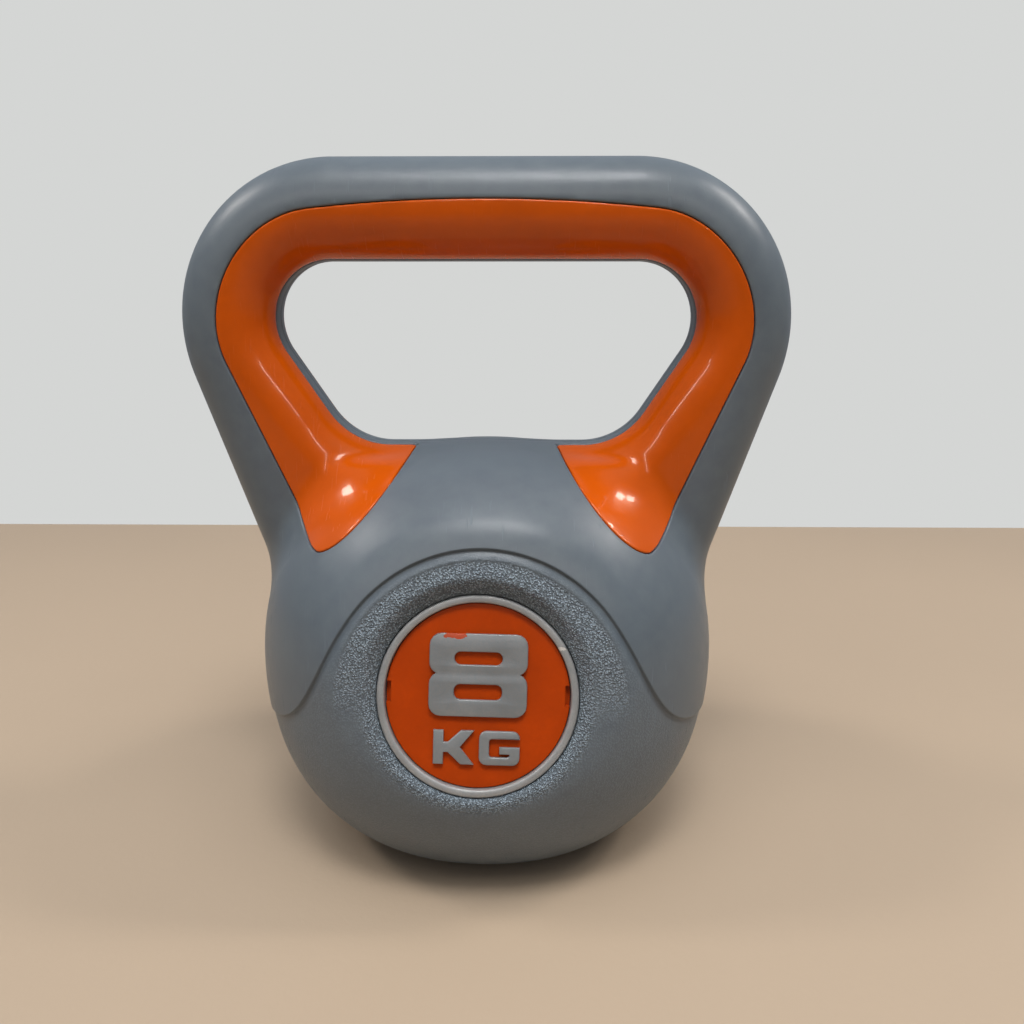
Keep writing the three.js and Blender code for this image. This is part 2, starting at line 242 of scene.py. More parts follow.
def body(p):
    """Bell and handle with the fillet between them, a flat face round each
    badge and a flat base."""
    x, y, z = np.abs(p[..., 0]), np.abs(p[..., 1]), p[..., 2]
    spread = smooth_step(*SADDLE_SPAN, y) * smooth_step(*SADDLE_WIDTH, x)
    front = SADDLE_FILLET + (FRONT_FILLET - SADDLE_FILLET) * spread
    fillet = front + (NECK_FILLET - front) * smooth_step(*NECK_SPAN, x)
    horns = np.maximum(handle(p), HANDLE_FOOT - z)
    whole = melt(horns, bell(p), fillet)
    faced = melt(-whole, FACE - badge_space(p)[2], FACE_FILLET)
    return -melt(faced, z, BASE_ROUND)


def gradient(field, p, step=0.02):
    slope = np.empty(p.shape)
    for axis in range(3):
        ahead = p.copy()
        ahead[..., axis] += step
        behind = p.copy()
        behind[..., axis] -= step
        slope[..., axis] = (field(ahead) - field(behind)) / (2 * step)
    return slope


def surface_normal(p):
    slope = gradient(body, p)
    return slope / np.linalg.norm(slope, axis=-1, keepdims=True)


def along_surface(field, p):
    """How a field changes along the body's surface, as a vector."""
    slope = gradient(field, p)
    normal = surface_normal(p)
    return slope - (slope * normal).sum(-1, keepdims=True) * normal


def surface_distance(field, p):
    """A field's value, rescaled to a distance measured along the surface."""
    return field(p) / np.maximum(np.linalg.norm(along_surface(field, p), axis=-1), 0.15)


# ---- Lines on the surface
def grip_area(p):
    """Negative where a grip panel covers the body."""
    x, z = np.abs(p[..., 0]), p[..., 2]
    side = rounded_corner(x, z + GRIP_CROWN * x ** 2, GRIP_CORNER, GRIP_CORNER_RADIUS,
                          -GRIP_SLANT, math.pi / 2)
    inwards = np.maximum(GRIP_TIP_X - x, 0)
    slope = GRIP_RISE * GRIP_RISE_POWER * inwards ** (GRIP_RISE_POWER - 1)
    low_edge = (GRIP_TIP + GRIP_RISE * inwards ** GRIP_RISE_POWER - z) / np.sqrt(1 + slope ** 2)
    panel = round_max(side, low_edge, GRIP_TIP_RADIUS)
    return np.maximum(panel, SEAM_HALF - np.abs(p[..., 1]))


def arch_area(p):
    """Negative in the bowl, below the arched step."""
    flat = np.stack([p[..., 0], p[..., 2]], -1)
    dome = round_form(flat - ARCH_CENTRE, ARCH_RADII)
    return melt(dome, p[..., 2] - ARCH_FOOT, ARCH_SPREAD)


def grain_area(p):
    """Negative inside the grained part of the bowl."""
    flat = np.stack([p[..., 0], p[..., 2]], -1)
    return round_form(flat - ARCH_CENTRE, GRAIN_RADII)


def rolled(inwards, radius=EDGE_ROLL):
    """Height of a rounded edge, by the distance in from its wall."""
    t = np.clip(inwards, 0, radius)
    return np.sqrt(radius ** 2 - (radius - t) ** 2) - radius


def relief(p):
    """How far the shell's surface stands out from the body's plain form."""
    edge = surface_distance(grip_area, p) - GAP / 2
    height = np.where(edge < -TINY, -GRIP_THICKNESS - GAP, rolled(edge))
    arch = surface_distance(arch_area, p)
    bowl = ARCH_STEP * (1 - smooth_step(-ARCH_STEP_HALF, ARCH_STEP_HALF, arch))
    rise = ARCH_RISE * smooth_step(*ARCH_TOP, p[..., 2])
    bowl = bowl - rise * (1 - smooth_step(-ARCH_BAND, -ARCH_STEP_HALF, arch))
    height = height - bowl * smooth_step(*ARCH_FADE, p[..., 2])
    grain = surface_distance(grain_area, p)
    grained = GRAIN_CROWN * smooth_step(*GRAIN_CROWN_RUN, -grain)
    grained = grained - GRAIN_STEP * (1 - smooth_step(-GRAIN_STEP_HALF, GRAIN_STEP_HALF, grain))
    height = height + grained * smooth_step(*GRAIN_TOP, p[..., 2])
    off_base = smooth_step(*SEAM_LINE_FADE, p[..., 2])
    seam = 1 - smooth_step(SEAM_LINE_HALF / 2, SEAM_LINE_HALF, np.abs(p[..., 1]))
    return height + SEAM_LINE * seam * off_base


def dish_depth(p):
    """How far a point stands over the dish round the badge."""
    return badge_space(p)[2] - (badge_radius(p) - DISH_START) / DISH_SPREAD


def with_relief(p):
    return p + surface_normal(p) * relief(p)[..., None]


def relief_radius(p):
    return badge_radius(with_relief(p))


def relief_dish(p):
    return dish_depth(with_relief(p))


def sunk(p):
    """Presses the dish and the badge pocket into a surface that has its relief."""
    radius = badge_radius(p)
    out = badge_space(p)[2]
    over = dish_depth(p)
    lip = np.maximum(DISH_LIP - np.abs(over), 0) ** 2 / DISH_LIP / 4
    dish = out - np.maximum(over, 0) - lip
    dish = dish + rolled(radius - POCKET_RADIUS, POCKET_ROLL)
    level = np.where(radius < POCKET_RADIUS - TINY, -BADGE_DEPTH - GAP, dish)
    level = np.where((np.abs(p[..., 1]) > BADGE_SIDE) & (radius < DISH_REACH + 4), level, out)
    outwards = np.stack([0 * out, np.sign(p[..., 1]) * math.cos(BADGE_TILT),
                         0 * out + math.sin(BADGE_TILT)], -1)
    return p + outwards * (level - out)[..., None]


# ---- Meshing
def on_surface(points, field, rounds=3):
    for _ in range(rounds):
        slope = gradient(field, points)
        step = field(points) / np.maximum((slope ** 2).sum(-1), 0.1)
        points = points - slope * np.clip(step, -2, 2)[:, None]
    return points


def shorter_split(points, quads):
    """Two triangles for each quad, along its shorter diagonal."""
    a, b, c, d = quads.T
    first = np.linalg.norm(points[a] - points[c], axis=1)
    second = np.linalg.norm(points[b] - points[d], axis=1)
    keep = first < second
    one = np.where(keep[:, None], np.stack([a, b, c], 1), np.stack([a, b, d], 1))
    two = np.where(keep[:, None], np.stack([a, c, d], 1), np.stack([b, c, d], 1))
    return np.concatenate([one, two])


def surface_net(field, low, high, step):
    """Points and triangles near where the field is zero, on a grid of cubes."""
    axes = [np.arange(a, b + step, step) for a, b in zip(low, high)]
    value = field(np.stack(np.meshgrid(*axes, indexing="ij"), -1))
    cells = tuple(n - 1 for n in value.shape)
    quads, places, owners = [], [], []
    for axis in range(3):
        near, far = np.delete(value, -1, axis), np.delete(value, 0, axis)
        at = np.argwhere((near < 0) != (far < 0))
        start, end = near[tuple(at.T)], far[tuple(at.T)]
        place = at.astype(float)
        place[:, axis] += start / (start - end)
        across, over = np.eye(3, dtype=int)[[(axis + 1) % 3, (axis + 2) % 3]]
        ring = [np.ravel_multi_index((at - back).T, cells)
                for back in (0 * across, across, across + over, over)]
        quad = np.stack(ring, 1)
        quad[start >= 0] = quad[start >= 0][:, ::-1]
        quads.append(quad)
        places.append(np.tile(place, (4, 1)))
        owners.append(np.concatenate(ring))
    used, quads = np.unique(np.concatenate(quads), return_inverse=True)
    owner = np.searchsorted(used, np.concatenate(owners))
    places = np.concatenate(places)
    count = np.bincount(owner)
    points = np.stack([np.bincount(owner, places[:, i]) / count for i in range(3)], 1)
    points = points * step + [axis[0] for axis in axes]
    return points, shorter_split(points, quads.reshape(-1, 4))


def sides_of(triangles):
    """The two ends of each triangle's first sides, then of the second and third."""
    return np.concatenate([triangles[:, [0, 1]], triangles[:, [1, 2]], triangles[:, [2, 0]]])


def edges_of(triangles):
    """Each edge once, and for each triangle the numbers of its three edges."""
    pairs = np.sort(sides_of(triangles), 1)
    size = triangles.max() + 1
    keys, number = np.unique(pairs[:, 0] * size + pairs[:, 1], return_inverse=True)
    return np.stack([keys // size, keys % size], 1), number.reshape(3, -1).T


def relaxed(points, triangles, field, rounds):
    """Evens out the triangles by sliding the points along the surface."""
    edges, _ = edges_of(triangles)
    ends = np.concatenate([edges, edges[:, ::-1]])
    count = np.bincount(ends[:, 0])
    for _ in range(rounds):
        mean = np.stack([np.bincount(ends[:, 0], points[ends[:, 1], i]) for i in range(3)], 1)
        points = on_surface(points + 0.6 * (mean / count[:, None] - points), field, 1)
    return on_surface(points, field)


def pulled_to_line(points, line, rounds=3):
    """Slides points along the body's surface to where the line's field is zero."""
    for _ in range(rounds):
        slope = along_surface(line, points)
        step = line(points) / np.maximum((slope ** 2).sum(-1), 0.05)
        points = on_surface(points - slope * np.clip(step, -1, 1)[:, None], body, 1)
    return points


def cut_along(points, triangles, locked, line, where=None, snap=0.2):
    """Puts a line of edges where the line's field is zero. Free points close to
    it slide onto it, and other triangles that it crosses are split."""
    wanted = np.ones(len(points), bool) if where is None else where(points)
    value = np.full(len(points), FAR)
    value[wanted] = line(points[wanted])
    edges, _ = edges_of(triangles)
    a, b = edges[wanted[edges].all(1)].T
    crossing = value[a] * value[b] < 0
    a, b = a[crossing], b[crossing]
    share = value[a] / (value[a] - value[b])
    near = np.unique(np.concatenate([a[share < snap], b[share > 1 - snap]]))
    near = near[~locked[near]]
    points = points.copy()
    points[near] = pulled_to_line(points[near], line)
    value[near] = 0
    locked = locked.copy()
    locked[near] = True
    edges, sides = edges_of(triangles)
    a, b = edges.T
    split = (value[a] * value[b] < 0) & wanted[a] & wanted[b]
    a, b = a[split], b[split]
    share = (value[a] / (value[a] - value[b]))[:, None]
    added = pulled_to_line(points[a] * (1 - share) + points[b] * share, line)
    middle = np.full(len(edges), -1)
    middle[split] = len(points) + np.arange(len(added))
    points = np.concatenate([points, added])
    locked = np.concatenate([locked, np.ones(len(added), bool)])
    middles = middle[sides]
    marks = (middles >= 0).sum(1)
    pieces = [triangles[marks == 0]]
    for turn in range(3):
        corner = np.roll(triangles, -turn, 1)
        mid = np.roll(middles, -turn, 1)
        one = (marks == 1) & (mid[:, 1] >= 0)
        p, q, r, m = *corner[one].T, mid[one, 1]
        pieces += [np.stack([p, q, m], 1), np.stack([p, m, r], 1)]
        two = (marks == 2) & (mid[:, 1] < 0)
        p, q, r, m, n = *corner[two].T, mid[two, 0], mid[two, 2]
        pieces += [np.stack([p, m, n], 1), shorter_split(points, np.stack([m, q, r, n], 1))]
    return points, np.concatenate(pieces), locked


def cut_lines(mesh, field, levels, where=None):
    for level in levels:
        mesh = cut_along(*mesh, lambda p: field(p) - level, where)
    return mesh


def placed(name, data):
    """Adds an object that holds a mesh, curve, light or camera to the scene."""
    made = bpy.data.objects.new(name, data)
    bpy.context.scene.collection.objects.link(made)
    return made


def mesh_object(name, points, faces):
    mesh = bpy.data.meshes.new(name)
    faces = faces.tolist() if isinstance(faces, np.ndarray) else faces
    mesh.from_pydata((np.asarray(points) * MM).tolist(), [], faces)
    mesh.validate()
    return placed(name, mesh)


def applied(made):
    """The mesh of an object with its modifiers or its curve's bevel applied."""
    bpy.context.view_layer.update()
    return bpy.data.meshes.new_from_object(made.evaluated_get(bpy.context.evaluated_depsgraph_get()))


def turned_outwards(mesh):
    """Joins the points that meet in a closed mesh and turns its faces outwards."""
    shape = bmesh.new()
    shape.from_mesh(mesh)
    bmesh.ops.remove_doubles(shape, verts=shape.verts, dist=0.01 * MM)
    bmesh.ops.recalc_face_normals(shape, faces=shape.faces)
    shape.to_mesh(mesh)
    shape.free()


def subtract(target, cutters):
    """Cuts closed solids out of a closed solid and removes the cutters."""
    for cutter in cutters:
        modifier = target.modifiers.new("cut", "BOOLEAN")
        modifier.operation = "DIFFERENCE"
        modifier.solver = "MANIFOLD"
        modifier.object = cutter
    mesh = applied(target)
    target.modifiers.clear()
    target.data = mesh
    for cutter in cutters:
        bpy.data.objects.remove(cutter)
    return target


def finished(piece, cad_node, material, smooth_angle=35, shading=None):
    """Hides the CAD part that a piece stands for, hangs the piece on the root body, and gives it its
    material.
    The shading function gives smooth normals for points, or zero for none."""
    piece.data.materials.clear()
    piece.data.materials.append(material)
    piece.data.shade_smooth()
    piece.data.set_sharp_from_angle(angle=math.radians(smooth_angle))
    if shading:
        normals = shading(places_of(piece))
        piece.data.normals_split_custom_set_from_vertices(normals.tolist())
    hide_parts(cad_node)
    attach(piece, "root")
    return piece


def places_of(piece):
    """The points of a mesh in millimetres."""
    places = np.empty(len(piece.data.vertices) * 3)
    piece.data.vertices.foreach_get("co", places)
    return places.reshape(-1, 3) / MM


def shell_shading(p):
    """The body's own normals, a millimetre or so away from the shell's steps,
    lips and grooves."""
    arch = surface_distance(arch_area, p)
    plain = (np.abs(body(p)) < 2) & (p[:, 2] > 4) & (np.abs(p[:, 1]) > 0.8)
    plain &= surface_distance(grip_area, p) > GAP / 2 + 1
    plain &= (arch > ARCH_STEP_HALF * 1.9) | (arch < -ARCH_BAND - 1)
    plain &= (badge_radius(p) > BADGE_RADIUS + 9) | (np.abs(p[:, 1]) < BADGE_SIDE)
    plain &= (surface_distance(grain_area, p) > 0.6) | (p[:, 2] < GRAIN_TOP[0])
    return surface_normal(p) * plain[:, None]


def grip_shading(p):
    plain = (body(p) > -0.02) & (surface_distance(grip_area, p) < -GAP / 2 - EDGE_ROLL)
    return surface_normal(p) * plain[:, None]


def ring_faces(rows, sides, closed=False):
    """Faces between rows of rings, with flat ends unless the rows close."""
    faces = []
    for row in range(rows if closed else rows - 1):
        up = (row + 1) % rows
        for i in range(sides):
            j = (i + 1) % sides
            faces.append([row * sides + i, row * sides + j, up * sides + j, up * sides + i])
    if not closed:
        faces.append(list(range(sides))[::-1])
        faces.append([(rows - 1) * sides + i for i in range(sides)])
    return faces


def lathe(name, profile, sides=96, closed=False):
    """A solid turned about Z from [radius, height] corners in millimetres."""
    angles = np.arange(sides) * 2 * math.pi / sides
    ring = np.stack([np.cos(angles), np.sin(angles)], 1)
    points = [[radius * c, radius * s, height] for radius, height in profile for c, s in ring]
    return mesh_object(name, points, ring_faces(len(profile), sides, closed))


def arc(centre, radius, start, end, steps=5):
    """Points on an arc, with its angles in degrees."""
    angles = np.radians(np.linspace(start, end, steps))
    return [[centre[0] + radius * math.cos(t), centre[1] + radius * math.sin(t)] for t in angles]


# ---- Shell
def plain_body():
    margin = 3
    low = [SHELL_LOW[0] - margin, -BELL_RADII[1] - margin, -margin]
    high = [SHELL_HIGH[0] + margin, BELL_RADII[1] + margin, HEIGHT + margin]
    points, triangles = surface_net(body, low, high, GRID)
    points = relaxed(points, triangles, body, rounds=12)
    return points, triangles, np.zeros(len(points), bool)


def near_badge(p):
    return (np.abs(p[:, 1]) > BADGE_SIDE) & (badge_radius(p) < BADGE_RADIUS + 8)


def near_dish(p):
    radius = badge_radius(p)
    return (np.abs(p[:, 1]) > BADGE_SIDE) & (radius < DISH_REACH) & (radius > BADGE_RADIUS)


def above_grain_foot(p):
    return (np.abs(p[:, 1]) > 15) & (p[:, 2] > GRAIN_TOP[0] - 4)


def cavity(p):
    """The space inside the shell, behind the wall, the recess and the badges."""
    inside = body(p) + WALL + GRIP_THICKNESS + GAP
    inside = np.maximum(inside, BASE_WALL - p[..., 2])
    backing = np.maximum(badge_radius(p) - BADGE_RADIUS, -badge_space(p)[2] - BADGE_DEPTH) - WALL
    return np.maximum(inside, -np.where(np.abs(p[..., 1]) > BADGE_SIDE - 10, backing, FAR))


def cavity_mesh(shrink, step):
    def field(p):
        return cavity(p) + shrink
    points, triangles = surface_net(field, SHELL_LOW, SHELL_HIGH, step)
    return on_surface(points, field, 2), triangles


def plug_hole():
    head = PLUG_HEAD_RADIUS + GAP
    stem = PLUG_STEM_RADIUS + GAP
    shelf = PLUG_SUNK + PLUG_HEAD + GAP
    chamfer = 0.5
    corners = [[head + chamfer, -1], [head + chamfer, 0], [head, chamfer], [head, shelf],
               [stem, shelf], [stem, BASE_WALL + 3]]
    return lathe("plug_hole", corners)


def make_shell(plain):
    mesh = cut_lines(plain, lambda p: surface_distance(grip_area, p),
                     GAP / 2 + np.array([-2 * TINY, *ROLL_LINES]))
    mesh = cut_lines(mesh, lambda p: surface_distance(arch_area, p),
                     ARCH_STEP_HALF * np.array([-5, -2, -1, -0.5, 0, 0.5, 1, 2]))
    mesh = cut_lines(mesh, lambda p: surface_distance(grain_area, p),
                     GRAIN_STEP_HALF * np.array([-1, 0, 1]), above_grain_foot)
    mesh = cut_lines(mesh, lambda p: p[..., 1], SEAM_LINE_HALF * np.array([-1, -0.5, 0.5, 1]))
    mesh = cut_lines(mesh, relief_radius,
                     POCKET_RADIUS + np.array([-2 * TINY, 0, 0.12, POCKET_ROLL]), near_badge)
    mesh = cut_lines(mesh, relief_dish, DISH_LIP * np.array([-1, -0.5, 0, 0.5, 1]), near_dish)
    points, triangles, _ = mesh
    shell = mesh_object("kettlebell_shell", sunk(with_relief(points)), triangles)
    hollow = mesh_object("hollow", *cavity_mesh(0, HOLLOW_GRID))
    return subtract(shell, [hollow, plug_hole()])


# ---- Grip panels
def make_grip(plain, label, turn):
    points, triangles, _ = cut_lines(plain, lambda p: surface_distance(grip_area, p),
                                     -GAP / 2 - ROLL_LINES)
    middle = points[triangles].mean(1)
    keep = (middle[:, 1] < 0) & (surface_distance(grip_area, middle) < -GAP / 2)
    used, triangles = np.unique(triangles[keep], return_inverse=True)
    triangles = triangles.reshape(-1, 3)
    points = points[used]
    edge = -GAP / 2 - surface_distance(grip_area, points)
    normal = surface_normal(points)
    outer = points + normal * rolled(edge)[:, None]
    inner = points - normal * GRIP_THICKNESS
    count = len(points)
    directed = sides_of(triangles)
    keys = directed[:, 0] * count + directed[:, 1]
    backward = directed[:, 1] * count + directed[:, 0]
    rim = directed[~np.isin(keys, backward)]
    i, j = rim.T
    walls = [np.stack([j, i, i + count], 1), np.stack([j, i + count, j + count], 1)]
    faces = np.concatenate([triangles, triangles[:, ::-1] + count, *walls])
    spin = np.array([math.cos(turn), math.cos(turn), 1])
    return mesh_object(f"grip_panel_{label}", np.concatenate([outer, inner]) * spin, faces)


# ---- Badge
BADGE_PLACE = (Matrix.Translation(Vector(BADGE_CENTRE) * MM)
               @ Matrix.Rotation(math.pi / 2 - BADGE_TILT, 4, "X")
               @ Matrix.Rotation(BADGE_TURN, 4, "Z"))
RIM_INNER = BADGE_RADIUS - BADGE_RIM
DIGIT_LOW, DIGIT_WIDTH, DIGIT_HEIGHT = -7.3, 34.8, 29.3
DIGIT_CORNER, DIGIT_WAIST, DIGIT_LAP = 4.2, 15.1, 0.7
SLOT_WIDTH, SLOT_CORNER = 17, 2.2
# The middle and the height of each slot in the 8.
SLOTS = ((1.4, 5.4), (13.3, 4.6))
LETTER_LOW, LETTER_WIDTH, LETTER_HEIGHT = -24.2, 14.4, 12
LETTER_STROKE, LETTER_GAP = 3.6, 0.9
K_ARM_FOOT, K_ARM_JOINT, K_ARM_NOTCH = 4.68, 1.6, 5
G_CORNER, G_INNER_CORNER, G_THICK = 2.6, 1.0, 2.8
G_BAR_LOW, G_BAR_HIGH = -2.1, 0.4
SIDE_SLOT_HALF, SIDE_SLOT_LOW, SIDE_SLOT_HIGH, SIDE_SLOT_DEPTH = 2.1, -3, 4.4, 2.2
FIELD_DISHED = 0.15
CHARACTER_LIFT = 0.05


def rounded_box(left, low, width, height, radius):
    """An outline that starts with the low right corner and runs anticlockwise."""
    right, top = left + width, low + height
    return (arc((right - radius, low + radius), radius, -90, 0)
            + arc((right - radius, top - radius), radius, 0, 90)
            + arc((left + radius, top - radius), radius, 90, 180)
            + arc((left + radius, low + radius), radius, 180, 270))


def digit_outlines():
    """A plain wide 8: two rounded blocks that lap, and a slot in each."""
    across = DIGIT_WIDTH / 2 - DIGIT_CORNER
    waist = DIGIT_LOW + DIGIT_WAIST
    reach = DIGIT_CORNER - DIGIT_LAP / 2
    notch = math.degrees(math.asin(reach / DIGIT_CORNER))
    right = (arc((across, DIGIT_LOW + DIGIT_CORNER), DIGIT_CORNER, -90, 0)
             + arc((across, waist - reach), DIGIT_CORNER, 0, notch)
             + arc((across, waist + reach), DIGIT_CORNER, -notch, 0)
             + arc((across, DIGIT_LOW + DIGIT_HEIGHT - DIGIT_CORNER), DIGIT_CORNER, 0, 90))
    left = [[-x, y] for x, y in reversed(right)]
    slots = [rounded_box(-SLOT_WIDTH / 2, middle - tall / 2, SLOT_WIDTH, tall, SLOT_CORNER)
             for middle, tall in SLOTS]
    return [right + left] + slots


def k_outlines():
    left, right = -LETTER_GAP - LETTER_WIDTH, -LETTER_GAP
    low, top = LETTER_LOW, LETTER_LOW + LETTER_HEIGHT
    middle = (low + top) / 2
    stem = left + LETTER_STROKE
    half = LETTER_STROKE / 2
    joint, notch, foot = stem + K_ARM_JOINT, right - K_ARM_NOTCH, right - K_ARM_FOOT
    return [[[left, low], [stem, low], [stem, middle - half], [joint, middle - half], [foot, low],
             [right, low], [notch, middle], [right, top], [foot, top], [joint, middle + half],
             [stem, middle + half], [stem, top], [left, top]]]


def g_outlines():
    left, right = LETTER_GAP, LETTER_GAP + LETTER_WIDTH
    low, top = LETTER_LOW, LETTER_LOW + LETTER_HEIGHT
    middle, centre = (low + top) / 2, (left + right) / 2
    inner = G_INNER_CORNER
    floor, roof = low + G_THICK, top - G_THICK
    west, east = left + LETTER_STROKE, right - LETTER_STROKE
    bar_low, bar_high = middle + G_BAR_LOW, middle + G_BAR_HIGH
    box = rounded_box(left, low, LETTER_WIDTH, LETTER_HEIGHT, G_CORNER)
    corner = len(box) // 4
    return [[[right, roof]] + box[corner:] + box[:corner]
            + [[right, bar_high], [centre, bar_high], [centre, bar_low], [east, bar_low]]
            + arc((east - inner, floor + inner), inner, 0, -90)
            + arc((west + inner, floor + inner), inner, 270, 180)
            + arc((west + inner, roof - inner), inner, 180, 90)]


def raised(name, outlines, round_edge=0.4):
    """A character with rounded edges that stands on the badge's field."""
    curve = bpy.data.curves.new(name, "CURVE")
    curve.dimensions = "2D"
    curve.fill_mode = "BOTH"
    curve.extrude = (RELIEF / 2 - round_edge) * MM
    curve.bevel_depth = round_edge * MM
    curve.offset = -round_edge * MM
    curve.bevel_resolution = 2
    for outline in outlines:
        spline = curve.splines.new("POLY")
        spline.points.add(len(outline) - 1)
        for point, (x, y) in zip(spline.points, outline):
            point.co = (x * MM, y * MM, 0, 1)
        spline.use_cyclic_u = True
    holder = placed(name, curve)
    mesh = applied(holder)
    bpy.data.objects.remove(holder)
    turned_outwards(mesh)
    mesh.transform(Matrix.Translation((0, 0, (RELIEF / 2 + CHARACTER_LIFT - FIELD_DEPTH) * MM)))
    return placed(name, mesh)


def block(name, low, high):
    """A closed box between two corners, for cutting."""
    x, y, z = zip(low, high)
    points = [[x[i], y[j], z[k]] for i in (0, 1) for j in (0, 1) for k in (0, 1)]
    faces = [[0, 1, 3, 2], [4, 6, 7, 5], [0, 4, 5, 1], [2, 3, 7, 6], [0, 2, 6, 4], [1, 5, 7, 3]]
    return mesh_object(name, points, faces)


def badge_disc(name):
    """The coloured field, dished a little, with a small slot at each side."""
    edge = RIM_INNER - GAP
    top = -FIELD_DEPTH
    chamfer, radius = 0.4, 0.3
    profile = [[edge - chamfer, -BADGE_DEPTH], [edge, chamfer - BADGE_DEPTH]]
    profile += arc((edge - radius, top - radius), radius, 0, 90)
    profile += [[edge * share, top - FIELD_DISHED * (1 - share ** 2)]
                for share in (0.9, 0.7, 0.5, 0.3, 0.1)]
    disc = lathe(name, profile, 128)
    cuts = [block("side_slot", [middle - SIDE_SLOT_HALF, SIDE_SLOT_LOW, top - SIDE_SLOT_DEPTH],
                  [middle + SIDE_SLOT_HALF, SIDE_SLOT_HIGH, 1])
            for middle in (-RIM_INNER, RIM_INNER)]
    return subtract(disc, cuts)


def badge_ring(name):
    """The raised rim: a low crown between two rounded edges."""
    edge, crown = 0.8, 0.02
    profile = [[RIM_INNER, -BADGE_DEPTH], [BADGE_RADIUS, -BADGE_DEPTH]]
    profile += arc((BADGE_RADIUS - edge, -edge), edge, 0, 80)
    profile += [[(RIM_INNER + BADGE_RADIUS) / 2, crown]]
    profile += arc((RIM_INNER + edge, -edge), edge, 100, 180)
    return lathe(name, profile, 160, closed=True)


def badge_pieces(label):
    """The pieces of one badge, by CAD node, before they are placed."""
    return {
        f"badge_disc_{label}": badge_disc(f"weight_badge_disc_{label}"),
        f"badge_ring_{label}": badge_ring(f"weight_badge_ring_{label}"),
        f"badge_numeral_8_{label}": raised(f"weight_figure_8_{label}", digit_outlines()),
        f"badge_letter_k_{label}": raised(f"weight_letter_k_{label}", k_outlines()),
        f"badge_letter_g_{label}": raised(f"weight_letter_g_{label}", g_outlines()),
    }


# ---- Fill, rod and plug
ROD_FOOT = BASE_WALL + 0.7
ROD_LEG = PLUG_HEAD_RADIUS + 3 * ROD_RADIUS
ROD_BEND = 14
ROD_TURN = 15
ROD_INSET = BAR / 2 + 2
ROD_PULL_OUT, ROD_PULL_DOWN = 42, 3


def bend(start, pull, end, steps=8):
    """Points on a curve from start to end, drawn towards the pull point."""
    t = np.linspace(0, 1, steps)[:, None]
    return (1 - t) ** 2 * start + 2 * t * (1 - t) * pull + t ** 2 * end


def rod_route(foot):
    """Middle line of the rod in X and Z: two legs, two horns and the bar."""
    turn_z = CORNER_Z - ROD_TURN
    reach = CORNER_RADIUS - ROD_INSET + (turn_z - CORNER_Z) * math.sin(HORN_SLANT)
    low = np.array([ROD_LEG, BELL_CENTRE[2]])
    high = np.array([CORNER_X + reach / math.cos(HORN_SLANT), turn_z])
    bar_z = HEIGHT - BAR / 2
    pull = np.array([CORNER_X + ROD_PULL_OUT, bar_z - ROD_PULL_DOWN])
    up = (high - low) / np.linalg.norm(high - low)
    right = np.concatenate([
        [[ROD_LEG, foot]], bend(low - [0, ROD_BEND], low, low + up * ROD_BEND),
        bend(high, pull, np.array([CORNER_X, bar_z]))])
    return np.concatenate([right, (right * [-1, 1])[::-1]])


def tube(name, route, radius, chamfer=0.0, sides=24):
    """A bar of round section bent along a line in the X-Z plane."""
    run = np.gradient(route, axis=0)
    run /= np.linalg.norm(run, axis=1, keepdims=True)
    radii = np.full(len(route), float(radius))
    if chamfer:
        ends = route[[0, -1]]
        route = np.concatenate([ends[:1], route[:1] + run[:1] * chamfer, route[1:-1],
                                route[-1:] - run[-1:] * chamfer, ends[1:]])
        run = np.concatenate([run[:1], run, run[-1:]])
        radii = np.concatenate([[radius - chamfer], radii, [radius - chamfer]])
    turn = np.arange(sides) * 2 * math.pi / sides
    sideways = np.stack([run[:, 1], -run[:, 0]], 1)
    ring = route[:, None] + sideways[:, None] * (np.cos(turn)[:, None] * radii[:, None, None])
    depth = np.sin(turn) * radii[:, None]
    points = np.stack([ring[..., 0], depth, ring[..., 1]], -1).reshape(-1, 3)
    made = mesh_object(name, points, ring_faces(len(route), sides))
    turned_outwards(made.data)
    return made


def make_core():
    """The cast fill: a rough lump inside the shell with a channel for the rod."""
    points, triangles = cavity_mesh(GAP + 0.05, FILL_GRID)
    waves = np.sin(points * 0.45 + np.sin(points[:, [1, 2, 0]] * 0.31) * 2).sum(1)
    uneven = 0.12 + 0.04 * waves
    slope = gradient(cavity, points)
    slope /= np.maximum(np.linalg.norm(slope, axis=1, keepdims=True), 0.1)
    core = mesh_object("cast_cement_fill", points - slope * uneven[:, None], triangles)
    return subtract(core, [tube("channel", rod_route(0), ROD_RADIUS + GAP)])


def make_plug():
    """The filling plug: a headed stopper with a coin slot across its face."""
    low, shelf = PLUG_SUNK, PLUG_SUNK + PLUG_HEAD
    long, wide, deep = COIN_SLOT
    profile = [[4, low + PLUG_DIMPLE], [PLUG_FACE_RADIUS, low + PLUG_DIMPLE]]
    profile += arc((PLUG_HEAD_RADIUS - 2, low + 0.8), 0.8, -90, -60, 3)
    profile += arc((PLUG_HEAD_RADIUS - 0.6, low + 0.6), 0.6, -90, 0)
    profile += arc((PLUG_HEAD_RADIUS - 0.4, shelf - 0.4), 0.4, 0, 90, 4)
    profile += [[PLUG_STEM_RADIUS + 0.3, shelf], [PLUG_STEM_RADIUS, shelf + 0.3]]
    profile += [[PLUG_STEM_RADIUS, BASE_WALL - 0.4], [PLUG_STEM_RADIUS - 0.4, BASE_WALL]]
    plug = lathe("base_filler_plug", profile, 96)
    slot = block("coin_slot", [-long / 2, -wide / 2, -1], [long / 2, wide / 2, low + deep])
    return subtract(plug, [slot])


